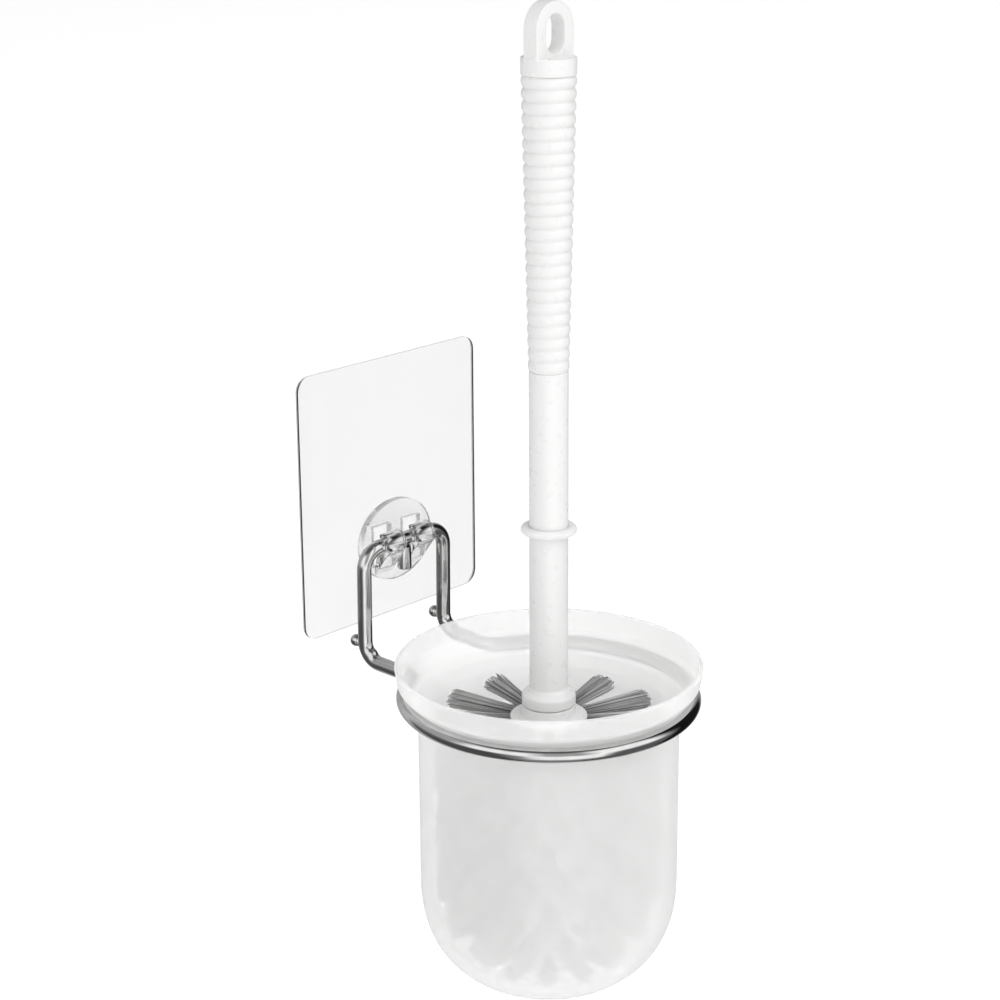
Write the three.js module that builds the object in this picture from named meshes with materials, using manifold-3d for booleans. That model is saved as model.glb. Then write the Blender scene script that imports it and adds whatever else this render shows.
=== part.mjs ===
// Wall-hung toilet brush holder: a clear adhesive sheet with a moulded hook plate, a bent chrome wire
// bracket that hangs in the hooks, a translucent cup that stands in the wire ring, and the brush.
// Units are millimetres, +Z is up, and the wall is the plane Y = 0 with the object in front of it (-Y).
// The origin is the middle of the sheet's back face.
import * as THREE from 'three';
import { mergeVertices } from 'three/addons/utils/BufferGeometryUtils.js';
import Module from 'manifold-3d';

const wasm = await Module();
wasm.setup();

// ---------------------------------------------------------------- driving dimensions
const FIT = 0.2; // running gap between pieces that nest in each other

const SHEET = { width: 97.4, height: 107.8, corner: 6, film: 0.9, adhesive: 0.6 };
const SHEET_DEPTH = SHEET.film + SHEET.adhesive;

const PLATE = { halfWidth: 19.6, halfHeight: 16.8, thickness: 3, z: -22.1 };
const PLATE_FRONT_Y = -(SHEET_DEPTH + PLATE.thickness);
const HOOK = { inner: 3.3, outer: 13.1, wall: 1.9, rootTop: 10.4, rootBottom: 13.6 };
const WINDOW = { above: 6.8, below: 10.2 }; // opening in the plate behind each hook, from the bar's height

const WIRE_RADIUS = 2.94;
const BAR = { y: -8.3, z: -21.2 }; // centre line of the wire's top bar, the bracket's pivot
const DROOP = THREE.MathUtils.degToRad(0.75); // the bracket's front hangs down a little
const LEG_X = 22.53;
const CORNER_BEND = 8; // centre-line radius of the two top corners
const ARM_BEND = 8; // from each leg into its arm
const RING_BEND = 8; // from each arm into the ring
const RING_RADIUS = 56.5;
const RING_DROP = 14.35; // middle of the ring below the cup's rim

const CUP_AXIS_Y = -87;
const RIM_Z = -53.6;
const CUP = { rim: 60, band: 59, body: 51.1, wall: 1.75 };
const DOME = { top: -90.6, depth: 46.2, squareness: 2.4 }; // a squared hemisphere

const STAND_OFF = { ball: 2.5, neck: 1.7, drop: 39, reach: 4.45 }; // drop from the bar
const PEG_LENGTH = 12.5; // from the bar's centre line down

const STEM_RADIUS = 7.46;
const SPIGOT = { radius: 5, length: 18, gap: 1 };
const FOOT = { radius: 10.5, top: -11.6, bottom: -17.6 };
const COLLAR = { radius: 10.75, thickness: 3, z: 54.2 };
const GRIP = { bottom: 116.4, top: 226.3, rings: 24, topRadius: 10.35, bottomRadius: 7.75 };
const GROOVE = { topDepth: 0.95, bottomDepth: 0.65 };
const CAP = { radius: 10.35, height: 6.5 };
const LOOP = { halfWidth: 10, height: 19.8, thickness: 6.8, slotHalf: 4.9, slotBottom: 1, slotTop: 15.2 };

const CORE = { neck: 10.6, radius: 15.1, top: -22.2, bottom: -126.5 };
const TUFT_ROWS = { count: 9, pitch: 12.2, first: -24.5, thickness: 7 };
const TUFTS = { perRow: 12, phase: 41.5, rootHalf: 2.3, tipHalf: 4.6, reach: 43.5, clearance: 5 };

const ROUND = 24; // sides of an ordinary turned piece
const CUP_ROUND = 40;
const DOME_STEPS = 9;
const SMALL_ROUND = 16;
const BRACKET_STEPS = 150;
const WIRE_SIDES = 8;

// ---------------------------------------------------------------- materials
function material(color, roughness, metalness, opacity = 1) {
  return new THREE.MeshStandardMaterial({
    color, roughness, metalness, opacity, transparent: opacity < 1,
  });
}
const clearFilm = () => material(0xf4f5f5, 0.12, 0, 0.4);
const adhesive = () => material(0xf0f0ee, 0.4, 0, 0.4);
const clearMoulding = () => material(0xf2f4f4, 0.06, 0, 0.35);
const chrome = () => material(0xd8d8d6, 0.08, 1);
const milkyPlastic = () => material(0xe9e9e7, 0.22, 0, 0.9);
const whitePlastic = () => material(0xefefec, 0.3, 0);
const bristle = () => material(0xa9a9a6, 0.6, 0);

// ---------------------------------------------------------------- geometry helpers
function toSolid(geometry) {
  const bare = new THREE.BufferGeometry();
  bare.setAttribute('position', geometry.attributes.position.clone());
  if (geometry.index) bare.setIndex(geometry.index.clone());
  const merged = mergeVertices(bare, 1e-4);
  return new wasm.Manifold(new wasm.Mesh({
    numProp: 3,
    vertProperties: new Float32Array(merged.attributes.position.array),
    triVerts: new Uint32Array(merged.index.array),
  }));
}

function toGeometry(solid) {
  const mesh = solid.getMesh();
  const geometry = new THREE.BufferGeometry();
  geometry.setAttribute('position', new THREE.BufferAttribute(mesh.vertProperties, 3));
  geometry.setIndex(new THREE.BufferAttribute(mesh.triVerts, 1));
  geometry.computeVertexNormals();
  return geometry;
}

// Turns a profile of [radius, height] pairs, listed upwards round the outside, about the Z axis.
function turned(profile, sides = ROUND) {
  const points = profile.map(([radius, height]) => new THREE.Vector2(radius, height));
  return new THREE.LatheGeometry(points, sides).rotateX(Math.PI / 2);
}

// Extrudes an outline drawn in X and Z towards the room, from the plane Y = back to Y = back - depth.
function plateFrom(shape, back, depth, curveSegments = 8) {
  const geometry = new THREE.ExtrudeGeometry(shape, { depth, bevelEnabled: false, curveSegments });
  return geometry.rotateX(Math.PI / 2).translate(0, back, 0);
}

// Points on an arc about [x, y], from one angle to the other in degrees, both ends included.
function arcPoints(x, y, radius, fromDegrees, toDegrees, steps) {
  return Array.from({ length: steps + 1 }, (_, i) => {
    const angle = THREE.MathUtils.degToRad(fromDegrees + ((toDegrees - fromDegrees) * i) / steps);
    return [x + radius * Math.cos(angle), y + radius * Math.sin(angle)];
  });
}

// The round bottom of the cup as [radius, height] points, from its lowest point up to its edge.
function domePoints(radius, depth, steps) {
  const power = 2 / DOME.squareness;
  return Array.from({ length: steps + 1 }, (_, i) => {
    const angle = (i / steps) * (Math.PI / 2);
    const level = i === steps ? 0 : Math.cos(angle);
    return [radius * Math.sin(angle) ** power, DOME.top - depth * level ** power];
  });
}

function shapeOf(points) {
  return new THREE.Shape(points.map(([x, y]) => new THREE.Vector2(x, y)));
}

function roundedRectangle(halfWidth, halfHeight, corner) {
  const x = halfWidth - corner;
  const y = halfHeight - corner;
  return shapeOf([
    ...arcPoints(x, y, corner, 0, 90, 6),
    ...arcPoints(-x, y, corner, 90, 180, 6),
    ...arcPoints(-x, -y, corner, 180, 270, 6),
    ...arcPoints(x, -y, corner, 270, 360, 6),
  ]);
}

// ---------------------------------------------------------------- wall mount
function sheetLayer(back, depth) {
  return plateFrom(roundedRectangle(SHEET.width / 2, SHEET.height / 2, SHEET.corner), back, depth);
}

// A hook's side outline about the bar: X is towards the room, Y is up.
function hookOutline() {
  const seat = WIRE_RADIUS + FIT;
  const back = BAR.y - PLATE_FRONT_Y - 0.5;
  return shapeOf([
    [back, -HOOK.rootBottom],
    ...arcPoints(0, 0, seat + HOOK.wall, -50, 100, 12),
    ...arcPoints(0, 0, seat, 100, -125, 18),
    [back, -HOOK.rootTop],
  ]);
}

function hook(side) {
  const width = HOOK.outer - HOOK.inner;
  const geometry = new THREE.ExtrudeGeometry(hookOutline(), { depth: width, bevelEnabled: false });
  // The outline's X runs towards the room (-Y), its Y runs up, and the extrusion runs along X.
  geometry.applyMatrix4(new THREE.Matrix4().makeBasis(
    new THREE.Vector3(0, -1, 0), new THREE.Vector3(0, 0, 1), new THREE.Vector3(-1, 0, 0),
  ));
  const outerEdge = side > 0 ? HOOK.outer : -HOOK.inner;
  return toSolid(geometry.translate(outerEdge, BAR.y, BAR.z));
}

function windowBehindHook(side) {
  const width = HOOK.outer - HOOK.inner;
  const height = WINDOW.above + WINDOW.below;
  const box = new THREE.BoxGeometry(width, PLATE.thickness + 1, height);
  const middleX = side * (HOOK.outer + HOOK.inner) / 2;
  const middleZ = BAR.z + (WINDOW.above - WINDOW.below) / 2;
  return toSolid(box.translate(middleX, PLATE_FRONT_Y + PLATE.thickness / 2, middleZ));
}

function hookPlate() {
  const outline = new THREE.Shape();
  outline.absellipse(0, PLATE.z, PLATE.halfWidth, PLATE.halfHeight, 0, 2 * Math.PI);
  let solid = toSolid(plateFrom(outline, -SHEET_DEPTH, PLATE.thickness, 48));
  for (const side of [-1, 1]) {
    solid = solid.subtract(windowBehindHook(side));
  }
  for (const side of [-1, 1]) {
    solid = solid.add(hook(side));
  }
  return toGeometry(solid);
}

// ---------------------------------------------------------------- wire bracket
// Part of a circle in space: centre + radius * (cos a * u + sin a * v), for a from 0 to the sweep.
class Bend extends THREE.Curve {
  constructor(centre, u, v, radius, sweep) {
    super();
    Object.assign(this, { centre, u, v, radius, sweep });
  }

  getPoint(t, target = new THREE.Vector3()) {
    const angle = t * this.sweep;
    return target.copy(this.centre)
      .addScaledVector(this.u, this.radius * Math.cos(angle))
      .addScaledVector(this.v, this.radius * Math.sin(angle));
  }
}

// The middle of the ring, seen from the bar in the bracket's own frame, which leans by DROOP.
const ringMiddle = new THREE.Vector3(0, CUP_AXIS_Y - BAR.y, RIM_Z - RING_DROP - BAR.z)
  .applyAxisAngle(new THREE.Vector3(1, 0, 0), -DROOP);

// One half of the bracket's closed centre line, from the middle of the bar to the front of the ring.
// The middle of the bar is the origin.
function halfOfWire(side) {
  const out = new THREE.Vector3(side, 0, 0);
  const up = new THREE.Vector3(0, 0, 1);
  const down = new THREE.Vector3(0, 0, -1);
  const towardsWall = new THREE.Vector3(0, 1, 0);
  const towardsRoom = new THREE.Vector3(0, -1, 0);
  const at = (x, y, z) => new THREE.Vector3(side * x, y, z);

  const cornerX = LEG_X - CORNER_BEND;
  const legBottom = ringMiddle.z + ARM_BEND;
  const bendX = LEG_X + RING_BEND;
  const bendY = Math.sqrt((RING_RADIUS + RING_BEND) ** 2 - bendX ** 2);
  const meet = Math.atan2(bendY, bendX); // where the ring starts, seen from the cup's axis
  const armFront = ringMiddle.y + bendY;

  return [
    new THREE.LineCurve3(at(0, 0, 0), at(cornerX, 0, 0)),
    new Bend(at(cornerX, 0, -CORNER_BEND), up, out, CORNER_BEND, Math.PI / 2),
    new THREE.LineCurve3(at(LEG_X, 0, -CORNER_BEND), at(LEG_X, 0, legBottom)),
    new Bend(at(LEG_X, -ARM_BEND, legBottom), towardsWall, down, ARM_BEND, Math.PI / 2),
    new THREE.LineCurve3(at(LEG_X, -ARM_BEND, ringMiddle.z), at(LEG_X, armFront, ringMiddle.z)),
    new Bend(at(bendX, armFront, ringMiddle.z), out.clone().negate(), towardsRoom, RING_BEND, meet),
    new Bend(
      ringMiddle,
      new THREE.Vector3(side * Math.cos(meet), Math.sin(meet), 0),
      new THREE.Vector3(side * Math.sin(meet), -Math.cos(meet), 0),
      RING_RADIUS,
      Math.PI / 2 + meet,
    ),
  ];
}

class Reversed extends THREE.Curve {
  constructor(curve) {
    super();
    this.curve = curve;
  }

  getPoint(t, target) {
    return this.curve.getPoint(1 - t, target);
  }
}

function wireFrame() {
  const path = new THREE.CurvePath();
  for (const curve of halfOfWire(1)) path.add(curve);
  for (const curve of halfOfWire(-1).reverse()) path.add(new Reversed(curve));
  return new THREE.TubeGeometry(path, BRACKET_STEPS, WIRE_RADIUS, WIRE_SIDES, true);
}

// A ball on a short neck behind a leg, turned about Z with the neck at the bottom.
function standOff() {
  const centre = STAND_OFF.reach - STAND_OFF.ball;
  const start = THREE.MathUtils.radToDeg(Math.asin(STAND_OFF.neck / STAND_OFF.ball)) - 90;
  return turned([
    [0, 0],
    [STAND_OFF.neck, 0],
    ...arcPoints(0, centre, STAND_OFF.ball, start, 80, 7),
    [0, STAND_OFF.reach],
  ], SMALL_ROUND);
}

function locatingPeg() {
  const top = -(WIRE_RADIUS + FIT);
  return turned([
    [0, -PEG_LENGTH],
    [WIRE_RADIUS - 0.5, -PEG_LENGTH],
    [WIRE_RADIUS, -PEG_LENGTH + 0.5],
    [WIRE_RADIUS, top],
    [0, top],
  ], SMALL_ROUND);
}

// ---------------------------------------------------------------- cup
function cup() {
  const { rim, band, body, wall } = CUP;
  const outside = [
    ...domePoints(body, DOME.depth, DOME_STEPS),
    [body, -22],
    [body + 0.7, -17.2],
    [body + 1.6, -13.4],
    [body + 3.6, -11],
    [band - 1.4, -9.4],
    [band, -7.4],
    [rim, -1],
    [rim - 0.5, -0.2],
  ];
  const inside = [
    [rim - 1.2, 0],
    [rim - 1.8, -0.7],
    [band - wall, -8],
    [body + 4.1, -9.7],
    [body + 2, -11.1],
    [body + 0.1, -13],
    [body - 1, -16.4],
    [body - wall, -22],
    ...domePoints(body - wall, DOME.depth - wall, DOME_STEPS).reverse(),
  ];
  return turned([...outside, ...inside], CUP_ROUND);
}

// ---------------------------------------------------------------- brush
function ringRadius(z) {
  const share = (z - GRIP.bottom) / (GRIP.top - GRIP.bottom);
  return THREE.MathUtils.lerp(GRIP.bottomRadius, GRIP.topRadius, share);
}

function grooveDepth(z) {
  const share = (z - GRIP.bottom) / (GRIP.top - GRIP.bottom);
  return THREE.MathUtils.lerp(GROOVE.bottomDepth, GROOVE.topDepth, share);
}

function gripProfile() {
  const pitch = (GRIP.top - GRIP.bottom) / GRIP.rings;
  const bottom = GRIP.bottom + FIT;
  const points = [[ringRadius(bottom) - GROOVE.bottomDepth, bottom]];
  for (let ring = 0; ring < GRIP.rings; ring += 1) {
    const low = GRIP.bottom + ring * pitch;
    const high = low + pitch;
    points.push([ringRadius(low + pitch / 2), low + pitch / 2]);
    if (ring < GRIP.rings - 1) points.push([ringRadius(high) - grooveDepth(high), high]);
  }
  points.push([GRIP.topRadius - GROOVE.topDepth, GRIP.top - FIT]);
  return points;
}

// The ribbed grip has a blind socket in each end, for the stem's spigot and for the loop's plug.
function grip() {
  const socket = SPIGOT.radius + FIT;
  const depth = SPIGOT.length + SPIGOT.gap;
  const low = GRIP.bottom + FIT;
  const high = GRIP.top - FIT;
  return turned([
    [0, low + depth],
    [socket, low + depth],
    [socket, low],
    ...gripProfile(),
    [socket, high],
    [socket, high - depth],
    [0, high - depth],
  ]);
}

function hangingLoop() {
  const base = GRIP.top + CAP.height;
  const arcCentre = base + LOOP.height - LOOP.halfWidth;
  const outline = shapeOf([
    [-LOOP.halfWidth, base - 1],
    [LOOP.halfWidth, base - 1],
    ...arcPoints(0, arcCentre, LOOP.halfWidth, 0, 180, 16),
  ]);
  outline.holes.push(new THREE.Path([
    ...arcPoints(0, base + LOOP.slotTop - LOOP.slotHalf, LOOP.slotHalf, 0, 180, 12),
    ...arcPoints(0, base + LOOP.slotBottom + LOOP.slotHalf, LOOP.slotHalf, 180, 360, 12),
  ].map(([x, y]) => new THREE.Vector2(x, y))));
  const loop = plateFrom(outline, LOOP.thickness / 2, LOOP.thickness);
  const cap = turned([
    [0, GRIP.top - SPIGOT.length],
    [SPIGOT.radius, GRIP.top - SPIGOT.length],
    [SPIGOT.radius, GRIP.top],
    [CAP.radius - 0.5, GRIP.top],
    [CAP.radius, GRIP.top + 0.5],
    [CAP.radius, base - 0.3],
    [CAP.radius - 0.3, base],
    [0, base],
  ]);
  return toGeometry(toSolid(cap).add(toSolid(loop)));
}

function stem() {
  return turned([
    [0, FOOT.bottom - SPIGOT.length],
    [SPIGOT.radius, FOOT.bottom - SPIGOT.length],
    [SPIGOT.radius, FOOT.bottom],
    [FOOT.radius - 1, FOOT.bottom],
    [FOOT.radius, FOOT.bottom + 1.6],
    [FOOT.radius, FOOT.bottom + 3],
    [FOOT.radius - 0.9, FOOT.top - 1.1],
    [STEM_RADIUS + 0.6, FOOT.top],
    [STEM_RADIUS, FOOT.top + 0.6],
    [STEM_RADIUS, GRIP.bottom],
    [SPIGOT.radius, GRIP.bottom],
    [SPIGOT.radius, GRIP.bottom + SPIGOT.length],
    [0, GRIP.bottom + SPIGOT.length],
  ]);
}

function dripCollar() {
  const bore = STEM_RADIUS + FIT;
  const half = COLLAR.thickness / 2;
  const edge = COLLAR.radius - half;
  return turned([
    [bore, COLLAR.z - half],
    ...arcPoints(edge, COLLAR.z, half, -90, 90, 4),
    [bore, COLLAR.z + half],
    [bore, COLLAR.z - half],
  ]);
}

// The bristle core: a wide barrel with a narrower neck on top, bored for the stem's spigot.
function headCore() {
  const neckTop = FOOT.bottom - FIT;
  const bore = SPIGOT.radius + FIT;
  return turned([
    [0, CORE.bottom],
    [CORE.radius - 3, CORE.bottom],
    [CORE.radius, CORE.bottom + 3],
    [CORE.radius, CORE.top - 0.6],
    [CORE.radius - 0.6, CORE.top],
    [CORE.neck, CORE.top],
    [CORE.neck, neckTop],
    [bore, neckTop],
    [bore, neckTop - SPIGOT.length - SPIGOT.gap],
    [0, neckTop - SPIGOT.length - SPIGOT.gap],
  ]);
}

// How far a row's bristles reach: a straight side, then a dome that follows the cup's round bottom.
function reachAt(z) {
  const below = Math.max(0, DOME.top - z) / (DOME.depth - CUP.wall);
  const inside = (CUP.body - CUP.wall) * (1 - below ** DOME.squareness) ** (1 / DOME.squareness);
  return Math.min(TUFTS.reach, inside - TUFTS.clearance);
}

// One row of tufts: bundles that fan out from a thin root ring round the core. Rows are staggered.
function tuftRow(row) {
  const low = TUFT_ROWS.first - row * TUFT_ROWS.pitch - TUFT_ROWS.thickness / 2;
  const reach = reachAt(low);
  const hole = CORE.radius + FIT;
  const root = hole + 1.6;
  const flare = (reach - root) / (TUFTS.reach - root);
  const tip = THREE.MathUtils.lerp(TUFTS.rootHalf, TUFTS.tipHalf, flare);
  const points = [];
  for (let tuft = 0; tuft < TUFTS.perRow; tuft += 1) {
    const middle = TUFTS.phase + ((tuft + (row % 2) / 2) * 360) / TUFTS.perRow;
    const spread = (radius, half) => THREE.MathUtils.radToDeg(Math.asin(half / radius));
    const rootSpread = spread(root, TUFTS.rootHalf);
    const tipSpread = spread(reach, tip);
    const [rootStart, rootEnd] = arcPoints(0, 0, root, middle - rootSpread, middle + rootSpread, 1);
    const tips = arcPoints(0, 0, reach, middle - tipSpread, middle + tipSpread, 2);
    points.push(rootStart, ...tips, rootEnd);
  }
  const outline = shapeOf(points);
  outline.holes.push(new THREE.Path().absarc(0, 0, hole, 0, 2 * Math.PI));
  const geometry = new THREE.ExtrudeGeometry(outline, {
    depth: TUFT_ROWS.thickness, bevelEnabled: false, curveSegments: ROUND,
  });
  return geometry.translate(0, 0, low);
}

function endTuft() {
  const top = CORE.bottom - FIT;
  return turned([
    [0, top - 7],
    [7, top - 7],
    [11, top - 4.6],
    [8, top],
    [0, top],
  ]);
}

// ---------------------------------------------------------------- assembly
function piece(name, geometry, itsMaterial) {
  const mesh = new THREE.Mesh(geometry, itsMaterial);
  mesh.name = name;
  return mesh;
}

const wallMount = new THREE.Group();
wallMount.add(piece('adhesive_layer', sheetLayer(0, SHEET.adhesive), adhesive()));
wallMount.add(piece('backing_sheet', sheetLayer(-SHEET.adhesive, SHEET.film), clearFilm()));
wallMount.add(piece('hook_plate', hookPlate(), clearMoulding()));

// The bracket is drawn about the middle of its bar, and leans by DROOP there.
const bracket = new THREE.Group();
bracket.position.set(0, BAR.y, BAR.z);
bracket.rotation.x = DROOP;
bracket.add(piece('wire_frame', wireFrame(), chrome()));
for (const [name, side] of [['left_stand_off', -1], ['right_stand_off', 1]]) {
  const ball = piece(name, standOff(), chrome());
  ball.rotation.x = -Math.PI / 2;
  ball.position.set(side * LEG_X, WIRE_RADIUS + FIT, -STAND_OFF.drop);
  bracket.add(ball);
}
bracket.add(piece('locating_peg', locatingPeg(), chrome()));

// The cup and the brush share one upright axis, and their heights count from the cup's rim.
const vessel = new THREE.Group();
vessel.position.set(0, CUP_AXIS_Y, RIM_Z);
vessel.add(piece('cup', cup(), milkyPlastic()));
vessel.add(piece('hanging_loop', hangingLoop(), whitePlastic()));
vessel.add(piece('ribbed_grip', grip(), whitePlastic()));
vessel.add(piece('stem', stem(), whitePlastic()));
vessel.add(piece('drip_collar', dripCollar(), milkyPlastic()));
vessel.add(piece('head_core', headCore(), whitePlastic()));
for (let row = 0; row < TUFT_ROWS.count; row += 1) {
  vessel.add(piece(`tuft_row_${row + 1}`, tuftRow(row), bristle()));
}
vessel.add(piece('end_tuft', endTuft(), bristle()));

const holder = new THREE.Group();
holder.add(wallMount, bracket, vessel);

export default holder;
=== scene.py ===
import math
import random

import bmesh
import bpy
from mathutils import Matrix, Vector


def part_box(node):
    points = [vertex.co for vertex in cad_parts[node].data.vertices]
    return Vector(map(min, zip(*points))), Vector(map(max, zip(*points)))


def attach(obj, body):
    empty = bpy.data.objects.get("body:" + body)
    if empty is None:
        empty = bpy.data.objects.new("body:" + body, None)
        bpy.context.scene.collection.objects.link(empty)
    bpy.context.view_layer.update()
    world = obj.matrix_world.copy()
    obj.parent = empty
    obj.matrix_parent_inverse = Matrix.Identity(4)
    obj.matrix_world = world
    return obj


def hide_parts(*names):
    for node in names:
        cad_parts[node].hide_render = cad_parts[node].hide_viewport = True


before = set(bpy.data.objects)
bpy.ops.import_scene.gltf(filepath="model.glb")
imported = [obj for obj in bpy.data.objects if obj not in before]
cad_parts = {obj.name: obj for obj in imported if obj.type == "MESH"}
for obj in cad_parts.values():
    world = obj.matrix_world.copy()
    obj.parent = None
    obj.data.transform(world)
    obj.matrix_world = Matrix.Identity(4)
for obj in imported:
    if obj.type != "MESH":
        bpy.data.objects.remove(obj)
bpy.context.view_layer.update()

# Looks for the wall-hung toilet brush holder. Lengths are written in millimetres and turned into
# metres by MM. Heights of the cup and the brush are counted from the cup's rim, on the cup's axis.
MM = 0.001

# ---------------------------------------------------------------- the view
VIEW_AZIMUTH = -48.16
ORBIT_ELEVATION = 21.69  # of the camera's place, seen from the middle of the rim
AIM_ELEVATION = 17.80  # of the line it looks along
ORBIT_RADIUS = 0.922
SENSOR = 36.0
LENS = 85.29
SIDE_SHIFT = -0.0488  # the framing leaves more room on the right of the object
NEAREST, FARTHEST = 0.05, 60.0

# ---------------------------------------------------------------- shapes that the CAD boxes don't give
SHEET_CORNER, SHEET_BEVEL = 6.0, 0.08
PLATE_BEVEL = 0.35
HOOK_INNER, HOOK_OUTER = 3.3, 13.1
HOOK_WALL, HOOK_BEVEL = 1.9, 0.25
HOOK_TIP_HALF = HOOK_WALL * 0.35
HOOK_ROOT_TOP, HOOK_ROOT_BOTTOM, HOOK_ROOT_DEPTH = 10.4, 13.6, 0.3
HOOK_BACK_TURN, HOOK_FOOT_TURN, HOOK_LIP_TURN, HOOK_TIP_TURN = -125, -50, 92, 100  # degrees from outwards
WINDOW_ABOVE, WINDOW_BELOW = 6.8, 10.2
SEAT_GAP = 0.2  # between the wire and a hook's seat

PLATE_Z, PLATE_HALF_HEIGHT, PLATE_THICKNESS = -22.1, 16.8, 3.0

WIRE = 2.94
BAR_Y, BAR_Z = -8.3, -21.2
DROOP = math.radians(0.75)  # the bracket's front hangs down a little
LEG_X = 22.53
BEND = 8.0
RING = 56.5
RING_DROP = 14.35
LUMP_SIZE, LUMP_LENGTH, LUMP_NARROWNESS = 0.34, 3.2, 3  # where the wire gathers inside its tight bends
BAR_STEPS, BEND_STEPS, LEG_STEPS, ARM_STEPS, JOIN_STEPS, RING_STEPS = 12, 14, 18, 6, 12, 84
BALL, BALL_NECK, NECK_SUNK = 2.5, 1.7, 0.3

CUP_RIM, CUP_BAND, CUP_BODY = 60.0, 59.0, 51.1
CUP_WALL = 1.75
DOME_TOP, DOME_DEPTH, DOME_SQUARENESS = -90.6, 46.2, 2.4

STEM = 7.46
GRIP_BOTTOM, GRIP_TOP = 116.4, 226.3
GRIP_RINGS, STEPS_PER_RING = 24, 10
GRIP_BOTTOM_RADIUS, GRIP_TOP_RADIUS = 7.75, 10.25
GROOVE_DEPTH, GROOVE_DEEPENING, GROOVE_NARROWNESS = 0.65, 0.3, 2.2
CAP_RADIUS, CAP_HEIGHT = 10.25, 6.5
LOOP_HALF, LOOP_HEIGHT, LOOP_THICKNESS, LOOP_BEVEL = 10.0, 19.8, 6.8, 0.5
LOOP_SUNK = 1.5  # how far the eye runs down into its cap
SLOT_HALF, SLOT_BOTTOM, SLOT_TOP = 4.9, 1.0, 15.2
COLLAR_RADIUS, COLLAR_THICKNESS, COLLAR_Z = 10.75, 3.0, 54.2
FOOT_RADIUS, FOOT_TOP, FOOT_BOTTOM, FOOT_SLOPE = 10.5, -11.6, -17.6, 1.4
PIECE_GAP = 0.2  # between two pieces that meet end to end, or one round the other

CORE_NECK, CORE_RADIUS, CORE_TOP, CORE_BOTTOM = 10.6, 15.1, -22.2, -126.5
TUFT_ROWS, ROW_PITCH, FIRST_ROW = 9, 12.2, -24.5
TUFTS_PER_ROW, TUFT_PHASE = 12, 41.5
TUFT_REACH, TUFT_CLEARANCE = 45.8, 3.6
BRISTLES_PER_TUFT, END_BRISTLES = 110, 260
BRISTLE_RADIUS, BRISTLE_STEPS, BRISTLE_SIDES = 0.26, 4, 3
# painted shade: how dark a bristle is painted at its root, where the tuft packs tight, and how soon it
# brightens along it
ROOT_PAINTED_SHADE, PAINTED_SHADE_RISE = 0.35, 1.8  # a bristle's shade at its root, and how soon it brightens
ROOT_SUNK, ROOT_HALF_WIDTH, ROOT_HALF_HEIGHT = 0.8, 2.1, 1.9
FAN_HALF_WIDTH, FAN_WIDENING, FAN_HALF_HEIGHT = 1.9, 3.3, 1.6
TOP_TIP_HEIGHT, LOWER_TIP_HEIGHT = 3.6, 5.6  # the rows below the top one run into each other
TIP_RAGGEDNESS, TIP_ROUNDING = 1.6, 1.3
END_ROOT_RADIUS, END_CROWN = 7.5, 3.2

# ---------------------------------------------------------------- places taken from the frame
cup_low, cup_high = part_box("cup")
CUP_X = (cup_low.x + cup_high.x) / 2
CUP_Y = (cup_low.y + cup_high.y) / 2
RIM_Z = cup_high.z
RIM_CENTRE = Vector((CUP_X, CUP_Y, RIM_Z))
ON_CUP_AXIS = Matrix.Translation(RIM_CENTRE)


# ---------------------------------------------------------------- camera
def back_from(azimuth, elevation):
    """Unit vector from the object towards a viewer at that azimuth and elevation, in degrees."""
    turn, rise = math.radians(azimuth), math.radians(elevation)
    return Vector((math.sin(turn) * math.cos(rise), -math.cos(turn) * math.cos(rise), math.sin(rise)))


def make_camera():
    data = bpy.data.cameras.new("camera")
    data.sensor_width = SENSOR
    data.lens = LENS
    data.shift_x = SIDE_SHIFT
    data.clip_start = NEAREST
    data.clip_end = FARTHEST
    camera = bpy.data.objects.new("camera", data)
    camera.location = RIM_CENTRE + back_from(VIEW_AZIMUTH, ORBIT_ELEVATION) * ORBIT_RADIUS
    camera.rotation_mode = "QUATERNION"
    camera.rotation_quaternion = (-back_from(VIEW_AZIMUTH, AIM_ELEVATION)).to_track_quat("-Z", "Y")
    bpy.context.scene.collection.objects.link(camera)
    bpy.context.scene.camera = camera


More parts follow.
